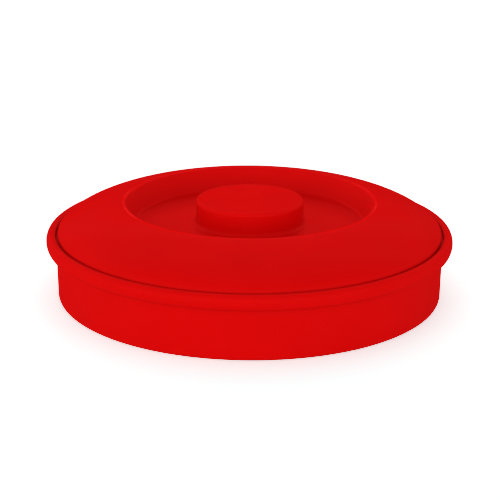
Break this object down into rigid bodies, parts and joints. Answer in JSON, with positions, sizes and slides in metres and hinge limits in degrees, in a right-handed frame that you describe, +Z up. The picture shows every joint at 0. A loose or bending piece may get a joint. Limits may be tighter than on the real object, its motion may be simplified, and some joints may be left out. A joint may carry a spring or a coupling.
{
  "type": "round tortilla server",
  "caption": "Low round dish with a rolled rim and a lift-off lid that has a sunk centre and a round knob, for keeping flatbreads warm at the table.",
  "frame": {"origin": "middle of the underside of the foot ring, on the table", "axes": "+Z up, along the axis of the dish and lid"},
  "size_m": [0.2414, 0.2414, 0.057],
  "materials": {
    "dish_plastic": "satin moulded polypropylene, red",
    "lid_plastic": "satin moulded polypropylene, red"
  },
  "bodies": {
    "dish": {"dish": "dish_plastic"},
    "lid": {"lid": "lid_plastic"}
  },
  "joints": [
    {"name": "lid_lift", "type": "slide", "parent": "dish", "child": "lid", "axis": [0, 0, 1], "range_m": [0, 0.12]}
  ]
}
